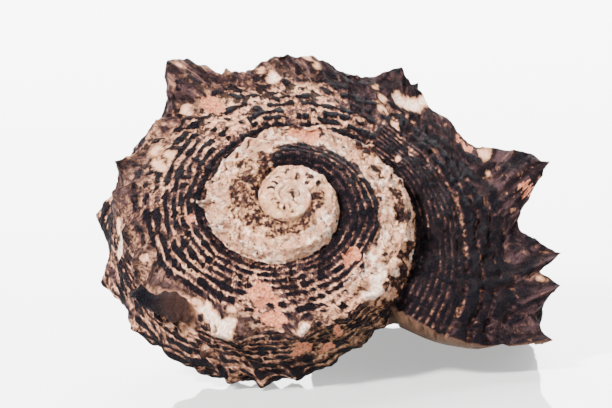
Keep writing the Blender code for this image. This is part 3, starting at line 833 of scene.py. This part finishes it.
def dress(mesh):
    """Raise the cords, scales and crusts, and work out the masks for the colours."""
    points = np.concatenate(mesh.points)
    t = np.array(mesh.stage)
    u = np.array(mesh.course)
    faces = np.array(mesh.faces)
    size = keel_radius(t)
    out = normals(points, faces)
    masks = whorl_masks(points, t, u)
    along = bead_place(t)
    doubled = (t > DOUBLED_STAGE) & (u < DOUBLED_COURSE)
    cord = cord_place(u) * np.where(doubled, 2, 1)
    cord += 0.24 * noise(points, 2.0, 46) * (u < 2.9) * ~doubled
    away = np.abs(cord - np.round(cord))
    crust = np.clip(masks["pink"] + masks["pale"], 0, 1)
    smoothed = np.clip(crust + masks["dark"] + 0.7 * masks["tip"], 0, 1)
    pit = pits(t, u, along, cord) * (1 - smoothed)

    # Cords with a row of scales on each, and pits between them
    row = np.floor(cord)
    shift = (row * 7 % BEAD_COLUMNS) / BEAD_COLUMNS
    wander = 0.9 * lane_noise(along / 3.0, row * 9.7, 45)
    bead = 0.5 + 0.5 * np.cos(2 * math.pi * (along + shift + wander))
    bead *= 1 + 0.9 * lane_noise(along / 2.0, row * 3.1, 44)
    ridge = (1 - 0.5 * (1 - 2 * away) ** 2) * (0.62 + 0.38 * bead)
    height = np.where(u < 1, RAMP_CORD_HEIGHT, SIDE_CORD_HEIGHT) * size * ease(t, CORD_WEAR)
    height *= np.where(doubled, 0.6, 1.0)
    lift = height * (ridge * (1 - 0.75 * smoothed) - pit * (ridge + 0.15))
    lift = np.where(u > 3, 0, lift)

    # Rounded keel of the early whorls with knobs and ribs, and the channel inside it
    keel = bell(u, 0.96, 0.12) * window(t, (-60, 60), (850, 900))
    knob = 0.6 + 0.5 * np.cos(np.radians(360 * t / KNOB_PITCH)) + 0.7 * noise(points, 0.8, 22)
    lift += KNOB_RISE * size * keel * knob
    channel = bell(u, 0.30, 0.25) * window(t, (60, 160), (700, 860))
    lift -= CHANNEL_DEPTH * size * channel
    ribs = np.cos(np.radians(360 * t / RIB_PITCH)) * window(t, (540, 600), (690, 740))
    lift += RIB_RISE * size * ribs * window(u, (0.35, 0.7), (1.1, 1.5))
    lift -= DIRT_DEPTH * size * masks["dirt"]

    # Folds across the whorls and into the spines, growth lines and slight unevenness
    folds = np.where(u > 3, 0.3, lane_noise(t / 6.0 + u * 0.8, u * 0.7, 21))
    lift += FOLD_RISE * size * folds * smooth(t, 560, 860)
    flutes = lane_noise(t / 1.5, u * 0.5, 23) * masks["tip"] * (1 - crust)
    lift += ease(t, FLUTE_DEPTH) * size * flutes
    lift += LINE_RISE * size * lane_noise(t * 0.9, u * 1.5, 8) * smooth(t, 100, 500)
    lift += SWELL_RISE * size * noise(points, 2.4, 5) * smooth(t, 300, 700)
    grain = smooth(t, 200, 420) * ease(t, GRAIN) * (1 - 0.7 * masks["pale"])
    lift += (0.12 * noise(points, 0.9, 7) + 0.10 * noise(points, 0.42, 6)) * grain

    # Crusts, the hollow with its rim, the smooth knob at the apex and the worn spines
    lift += masks["pink"] * (PINK_RISE + 0.07 * noise(points, 0.45, 9))
    lift = lift + masks["pale"] * PALE_RISE + masks["rim"] * RIM_RISE
    lift -= masks["dark"] * (HOLLOW_DEPTH + 0.15 * noise(points, 0.8, 47))
    apart = np.hypot(points[:, 0], points[:, 1])
    lift += NUCLEUS_RISE * (1 - smooth(apart, 0.90, 1.10))
    lift -= NUCLEUS_GROOVE * bell(apart, 1.2, 0.1)
    for stage, course, radius, tall in KNOBS:
        off = np.linalg.norm(points - on_shell(stage, [course]), axis=1) / radius
        dome = np.sqrt(np.clip(1 - off * off, 0, 1))
        lift += tall * dome * smooth(-off, -1.0, -0.7)
    outside = u < 4.5
    points += out * (lift * outside)[:, None]

    # Pale threads on the cords, partly their own colour and partly a painted highlight on the crests,
    # finer and quieter where the cords are doubled
    masks["pit"] = pit
    order = ease(t, ORDER) * (1 - 0.6 * bell(u, 0.98, 0.16))
    order *= 0.35 + 0.65 * smooth(noise(points, 2.6, 49), -0.35, 0.15)
    thread_and_highlight = (2 * away) ** 2.6 * (0.60 + 0.40 * bead)
    strength = 0.55 + 0.45 * lane_noise(t / 9.0, row * 5.7, 61)
    quiet = (2 * away) ** 1.8 * (0.88 + 0.12 * bead) * strength
    thread_and_highlight = np.where(doubled, quiet, thread_and_highlight)
    masks["ridge"] = THREAD_AND_HIGHLIGHT_MEAN + (thread_and_highlight - THREAD_AND_HIGHLIGHT_MEAN) * order
    masks["inside"] = np.where(outside, 0.0, 1.0)
    lip = np.zeros(len(points))
    lip[list(mesh.lip_loop | mesh.first_ring)] = 1.0
    masks["lip"] = lip
    return points, faces, t, u, masks


def add_object(name, data):
    """A new object in the scene."""
    made = bpy.data.objects.new(name, data)
    bpy.context.scene.collection.objects.link(made)
    return made


def shell_object():
    """The fine shell as a Blender object, in metres in the part's frame."""
    fine = ShellMesh()
    fine.build()
    points, faces, t, u, masks = dress(fine)
    points = settle(points)
    points[:, 2] = np.maximum(points[:, 2], points[:, 2].min() + WORN_FLAT)
    low, high = np.array(cad_box[0]) / MM, np.array(cad_box[1]) / MM
    points = np.clip(points + np.array(AXIS_PLACE), low, high) * MM

    mesh = bpy.data.meshes.new("shell_fine")
    mesh.from_pydata(points.tolist(), [], faces.tolist())

    corner_t = t[faces]
    corner_u = u[faces]
    for seam, before, after in (
        (slice(fine.top_seam, fine.wall_seam), 2.0, 0.0),
        (slice(fine.wall_seam, fine.seams_end), 3.0, 4.0),
    ):
        old = corner_u[seam] == before
        corner_t[seam] = corner_t[seam] + np.where(old, TURN_BACK, 0.0)
        corner_u[seam] = np.where(old, after, corner_u[seam])
    for name, value in (
        ("stage", corner_t), ("cord", cord_place(corner_u)), ("bead", bead_place(corner_t)),
    ):
        layer = mesh.attributes.new(name, "FLOAT", "CORNER")
        layer.data.foreach_set("value", value.ravel().astype(np.float32))
    for name, value in masks.items():
        layer = mesh.attributes.new(name, "FLOAT", "POINT")
        layer.data.foreach_set("value", value.astype(np.float32))

    form = bmesh.new()
    form.from_mesh(mesh)
    bmesh.ops.recalc_face_normals(form, faces=form.faces)
    if form.calc_volume(signed=True) < 0:
        bmesh.ops.reverse_faces(form, faces=form.faces)
    form.to_mesh(mesh)
    form.free()
    for face in mesh.polygons:
        face.use_smooth = True
    return add_object("shell_fine", mesh)


def add_node(tree, kind, settings=None, **inputs):
    """A shader node with its settings, and its inputs set or linked by name or as i0, i1."""
    made = tree.nodes.new(kind)
    for name, value in (settings or {}).items():
        setattr(made, name, value)
    for name, value in inputs.items():
        numbered = name[0] == "i" and name[1:].isdigit()
        socket = made.inputs[int(name[1:]) if numbered else name]
        if hasattr(value, "links"):
            tree.links.new(value, socket)
        else:
            socket.default_value = value
    return made


class Paint:
    """Short words for the shader nodes of one material."""

    def __init__(self, name):
        self.material = bpy.data.materials.new(name)
        self.material.use_nodes = True
        self.tree = self.material.node_tree
        self.base = self.tree.nodes["Principled BSDF"]
        self.place = self.tree.nodes.new("ShaderNodeTexCoord").outputs["Object"]

    def value(self, name):
        return add_node(self.tree, "ShaderNodeAttribute", {"attribute_name": name}).outputs["Fac"]

    def math(self, operation, a, b):
        return add_node(
            self.tree, "ShaderNodeMath", {"operation": operation}, i0=a, i1=b
        ).outputs[0]

    def add(self, a, b):
        return self.math("ADD", a, b)

    def less(self, a, b):
        return self.math("SUBTRACT", a, b)

    def times(self, a, b):
        return self.math("MULTIPLY", a, b)

    def swing(self, value, width):
        """How far the value is from a half, times the width."""
        return self.times(self.less(value, 0.5), width)

    def noise(self, size_mm, detail=3.0, rough=0.55, where=None):
        """Noise in the object's space, or with features of the size given in another."""
        return add_node(
            self.tree, "ShaderNodeTexNoise", None, Vector=where or self.place,
            Scale=1.0 / (size_mm * MM) if where is None else 1.0 / size_mm,
            Detail=detail, Roughness=rough,
        ).outputs["Fac"]

    def step(self, value, low, high, to_low=0.0, to_high=1.0):
        return add_node(
            self.tree, "ShaderNodeMapRange", {"interpolation_type": "SMOOTHSTEP"},
            i0=value, i1=low, i2=high, i3=to_low, i4=to_high,
        ).outputs[0]

    def mix(self, share, a, b):
        made = add_node(self.tree, "ShaderNodeMix", {"data_type": "RGBA"}, i0=share, i6=a, i7=b)
        return made.outputs[2]

    def ladder(self, value, base, rungs):
        """Colours that take over one by one as the value rises: start, end, colour."""
        for low, high, tint in rungs:
            base = self.mix(self.step(value, low, high), base, tint)
        return base

    def along(self, bead, cord):
        """A space that follows the cords, from the running numbers along and across."""
        return add_node(self.tree, "ShaderNodeCombineXYZ", None, X=bead, Y=cord).outputs[0]

    def bump(self, height, depth_mm, strength=1.0, normal=None):
        made = add_node(
            self.tree, "ShaderNodeBump", None, Height=height, Strength=strength,
            Distance=depth_mm * MM,
        )
        if normal is not None:
            self.tree.links.new(normal, made.inputs["Normal"])
        return made.outputs["Normal"]


def colour(red, green, blue):
    """A colour with full cover."""
    return (red, green, blue, 1.0)


NEAR_BLACK = colour(0.0014, 0.0009, 0.0028)
DARK_BROWN = colour(0.011, 0.0052, 0.0058)
MAUVE = colour(0.052, 0.027, 0.030)
TAN = colour(0.20, 0.090, 0.050)
CREAM_PINK = colour(0.64, 0.31, 0.19)
CREAM = colour(0.86, 0.53, 0.32)
STAIN = colour(0.42, 0.21, 0.10)
RUST = colour(0.075, 0.029, 0.020)
HOLLOW_BROWN = colour(0.030, 0.013, 0.010)
# Olive of the painted shade under the keel
KEEL_SHADE_OLIVE = colour(0.085, 0.050, 0.021)
CHALK = colour(0.93, 0.72, 0.58)
PINK = colour(0.36, 0.095, 0.045)
PALE_PINK = colour(0.62, 0.26, 0.15)
INSIDE_BROWN = colour(0.045, 0.025, 0.012)
INSIDE_PALE = colour(0.11, 0.064, 0.034)
LIP_BROWN = colour(0.15, 0.075, 0.045)


def shell_material():
    """Dark pits and cream cords, partly painted shade and highlight, worn early whorls, crusts of pink
    and chalk, brown inside.
    """
    p = Paint("shell_surface")
    cord = p.value("cord")
    bead = p.value("bead")
    light = p.value("light")
    stage = p.value("stage")
    lane = p.along(p.add(bead, p.times(p.noise(1.5, 2.0), 3.0)), p.times(cord, 1.3))
    cell = add_node(
        p.tree, "ShaderNodeTexVoronoi", {"voronoi_dimensions": "2D"},
        Vector=lane, Scale=1.25, Randomness=1.0,
    )
    tone = add_node(p.tree, "ShaderNodeSeparateColor", None, Color=cell.outputs["Color"]).outputs[0]
    broad = p.noise(3.0, 3.0)
    medium = p.noise(0.8, 4.0)
    fine = p.noise(0.2, 3.0)
    grit = p.noise(0.35, 4.0, 0.7)
    mottle = p.noise(0.45, 4.0, 0.65)
    dash = p.noise(1.0, 3.0, 0.6, p.along(p.times(bead, 1.6), p.times(cord, 3.2)))
    streak = p.noise(1.0, 4.0, 0.6, p.along(p.times(bead, 0.9), p.times(cord, 0.5)))

    # Ground of mauve with pale threads on the cords, partly a painted highlight on the crests, patchy
    # and grainy
    shade = p.less(p.less(p.value("ridge"), THREAD_AND_HIGHLIGHT_MEAN), p.times(p.value("gloom"), 0.35))
    for part, weight in (
        (medium, 1.5), (tone, 0.15), (grit, 1.5), (broad, 1.0), (dash, 1.6), (light, 0.75)
    ):
        shade = p.add(shade, p.swing(part, weight))
    top = p.ladder(shade, DARK_BROWN, [
        (-0.50, -0.15, MAUVE), (-0.15, 0.16, TAN), (0.08, 0.38, CREAM_PINK), (0.38, 0.70, CREAM),
    ])

    # Streaks on the spines, painted olive shade under the keel at the bottom, and black pits in the
    # grooves, partly painted shade
    tip = p.ladder(streak, NEAR_BLACK, [(0.40, 0.50, DARK_BROWN), (0.48, 0.60, MAUVE)])
    tip = p.mix(p.step(medium, 0.60, 0.72), tip, TAN)
    bright = p.add(streak, p.swing(light, 0.04))
    tip = p.mix(p.step(bright, 0.60, 0.74), tip, p.mix(0.5, TAN, CREAM_PINK))
    top = p.mix(p.times(p.value("tip"), 0.9), top, tip)
    top = p.mix(p.times(p.value("keel_shade"), 0.6), top, KEEL_SHADE_OLIVE)
    # Black in the pits: partly the shell's dark colour, partly painted shade
    pit = p.add(p.add(p.value("pit"), p.swing(grit, 1.5)), p.swing(dash, 0.9))
    blot = p.times(p.step(p.noise(1.5, 4.0, 0.6), 0.54, 0.61), 0.95)
    pit = p.math("MAXIMUM", p.step(pit, 0.34, 0.62), blot)
    base = p.mix(pit, top, p.mix(p.step(medium, 0.45, 0.70), NEAR_BLACK, DARK_BROWN))

    # Worn cream with stains, specks and brown left in the hollows
    old = p.step(stage, 300.0, 620.0, 1.0, 0.0)
    cream = p.mix(p.step(broad, 0.40, 0.62), CREAM, CHALK)
    cream = p.mix(p.step(medium, 0.40, 0.58), cream, CREAM_PINK)
    warm = p.times(p.step(mottle, 0.47, 0.62), p.step(stage, 380.0, 620.0))
    cream = p.mix(p.times(warm, 0.75), cream, p.mix(p.step(grit, 0.45, 0.6), TAN, RUST))
    stain = p.times(p.step(p.noise(1.4, 4.0, 0.6), 0.46, 0.64), 0.7)
    cream = p.mix(stain, cream, p.mix(old, p.mix(0.35, TAN, CREAM_PINK), STAIN))
    speck = p.less(p.noise(0.6, 4.0, 0.65), p.times(old, 0.05))
    cream = p.mix(p.step(speck, 0.53, 0.62), cream, p.mix(0.6, cream, RUST))
    cream = p.mix(p.step(speck, 0.61, 0.66), cream, DARK_BROWN)
    left = p.value("dirt")
    dirt = p.add(p.times(left, 0.62), p.swing(mottle, 1.9))
    dirt = p.times(dirt, p.step(left, 0.02, 0.25))
    cream = p.ladder(dirt, cream, [
        (0.05, 0.30, STAIN), (0.28, 0.46, RUST), (0.46, 0.62, DARK_BROWN),
    ])
    bare = p.add(p.add(p.value("worn"), p.swing(medium, 0.8)), p.swing(grit, 1.0))
    base = p.mix(p.step(bare, 0.44, 0.56), base, cream)

    # Crusts of pink and chalk, the hollow with its painted shade and its rim, the lip and the inside
    pink = p.mix(p.step(fine, 0.35, 0.65), PINK, PALE_PINK)
    pink = p.mix(p.step(grit, 0.60, 0.66), pink, DARK_BROWN)
    base = p.mix(p.step(p.add(p.value("pink"), p.swing(mottle, 1.6)), 0.42, 0.62), base, pink)
    chalk = p.mix(p.step(grit, 0.48, 0.62), CHALK, CREAM_PINK)
    base = p.ladder(p.add(p.value("pale"), p.swing(grit, 0.405)), base, [
        (0.12, 0.30, p.mix(0.5, STAIN, TAN)), (0.26, 0.48, CREAM_PINK), (0.42, 0.85, chalk),
    ])
    base = p.mix(p.times(p.value("rim"), p.step(grit, 0.30, 0.48)), base, CREAM_PINK)
    # Painted shade in the hollow: near black past stage 954, brown before stage 948
    deep = p.step(stage, 948.0, 954.0, 1.0, 0.0)
    base = p.mix(p.value("dark"), base, p.mix(deep, NEAR_BLACK, HOLLOW_BROWN))
    base = p.mix(p.times(p.value("lip"), 0.8), base, LIP_BROWN)
    inside = p.value("inside")
    base = p.mix(inside, base, p.mix(p.step(broad, 0.3, 0.7), INSIDE_BROWN, INSIDE_PALE))
    p.tree.links.new(base, p.base.inputs["Base Color"])

    # Fine relief on the outside only, and a matt finish that is smoother inside
    outside = p.less(1.0, inside)
    normal = p.bump(p.times(fine, outside), 0.30)
    normal = p.bump(p.times(cell.outputs["Distance"], outside), -0.25, 0.7, normal)
    normal = p.bump(p.times(grit, outside), 0.85, 1.0, normal)
    p.tree.links.new(normal, p.base.inputs["Normal"])
    rough = p.less(p.add(0.45, p.times(medium, 0.35)), p.times(inside, 0.25))
    p.tree.links.new(rough, p.base.inputs["Roughness"])
    p.base.inputs["Specular IOR Level"].default_value = 0.07
    return p.material


# The photo: its size and the apex's place in pixels, and the view's width at the apex
PHOTO_WIDTH = 612
PHOTO_HEIGHT = 408
APEX_PIXEL = (289.5, 192.0)
CAMERA_AWAY = 0.350
VIEW_WIDTH = 0.0612
SENSOR_MM = 36.0


def camera():
    """The photo's view: level with the tipped shell, a little above it."""
    made = add_object("camera", bpy.data.cameras.new("camera"))
    tilt = math.radians(SETTLE)
    lean = math.radians(LEAN)

    def leant(x, y, z):
        return np.array([
            x * math.cos(lean) + z * math.sin(lean), y,
            z * math.cos(lean) - x * math.sin(lean),
        ])

    apex = np.array(AXIS_PLACE) * MM
    back = leant(0.0, -math.cos(tilt), math.sin(tilt))
    up = leant(0.0, math.sin(tilt), math.cos(tilt))
    right = leant(1.0, 0.0, 0.0)
    eye = apex + back * CAMERA_AWAY
    rows = [[right[i], up[i], back[i], eye[i]] for i in range(3)]
    made.matrix_world = Matrix(rows + [[0, 0, 0, 1]])
    made.data.sensor_width = SENSOR_MM
    made.data.lens = SENSOR_MM * CAMERA_AWAY / VIEW_WIDTH
    made.data.shift_x = (PHOTO_WIDTH / 2 - APEX_PIXEL[0]) / PHOTO_WIDTH
    made.data.shift_y = (APEX_PIXEL[1] - PHOTO_HEIGHT / 2) / PHOTO_WIDTH
    made.data.clip_start = 0.01
    made.data.clip_end = 20.0
    bpy.context.scene.camera = made


def area_light(name, place, aim, size, power, tint):
    """A round soft lamp at a place, turned towards its aim."""
    data = bpy.data.lights.new(name, "AREA")
    data.shape = "DISK"
    data.size = size
    data.energy = power
    data.color = tint
    made = add_object(name, data)
    way = np.array(place) - np.array(aim)
    made.location = place
    made.rotation_euler = (
        math.acos(way[2] / np.linalg.norm(way)), 0.0, math.atan2(way[1], way[0]) + math.pi / 2
    )


def panel(name, corners, settings):
    """A flat panel with four corners, and the values of its material's sockets."""
    mesh = bpy.data.meshes.new(name)
    mesh.from_pydata(corners, [], [(0, 1, 2, 3)])
    made = add_object(name, mesh)
    material = bpy.data.materials.new(name)
    material.use_nodes = True
    for socket, value in settings.items():
        material.node_tree.nodes["Principled BSDF"].inputs[socket].default_value = value
    mesh.materials.append(material)
    return made


FLOOR_HALF = 4.0
BACKDROP_HIGH = 1.8
WHITE = colour(1.0, 1.0, 1.0)


def studio():
    """A plain pale floor, a pale backdrop and surround, and soft lamps."""
    half = FLOOR_HALF
    floor = panel(
        "floor", [(-half, -half, 0), (half, -half, 0), (half, half, 0), (-half, half, 0)],
        {
            "Base Color": colour(0.42, 0.42, 0.42), "Roughness": 0.05,
            "Emission Color": WHITE, "Emission Strength": 0.55,
        },
    )
    high = BACKDROP_HIGH
    backdrop = panel(
        "backdrop", [(-half, half, 0), (half, half, 0), (half, half, high), (-half, half, high)],
        {"Emission Color": WHITE, "Emission Strength": 10.0},
    )

    world = bpy.data.worlds.new("surround")
    world.use_nodes = True
    world.node_tree.nodes["Background"].inputs["Color"].default_value = WHITE
    world.node_tree.nodes["Background"].inputs["Strength"].default_value = 0.30
    bpy.context.scene.world = world
    area_light("key", (-0.30, -0.34, 0.36), (0, 0, 0.015), 0.10, 25.0, (1.0, 0.98, 0.96))
    area_light("fill", (0.40, -0.30, 0.25), (0, 0, 0.015), 0.30, 3.0, (0.95, 0.97, 1.0))
    area_light("back", (0.05, 0.50, 0.50), (0, 0.45, 0.0), 0.50, 30.0, (1.0, 1.0, 1.0))


shell = shell_object()
shell.data.materials.append(shell_material())
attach(shell, "root")
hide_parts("shell")
camera()
studio()
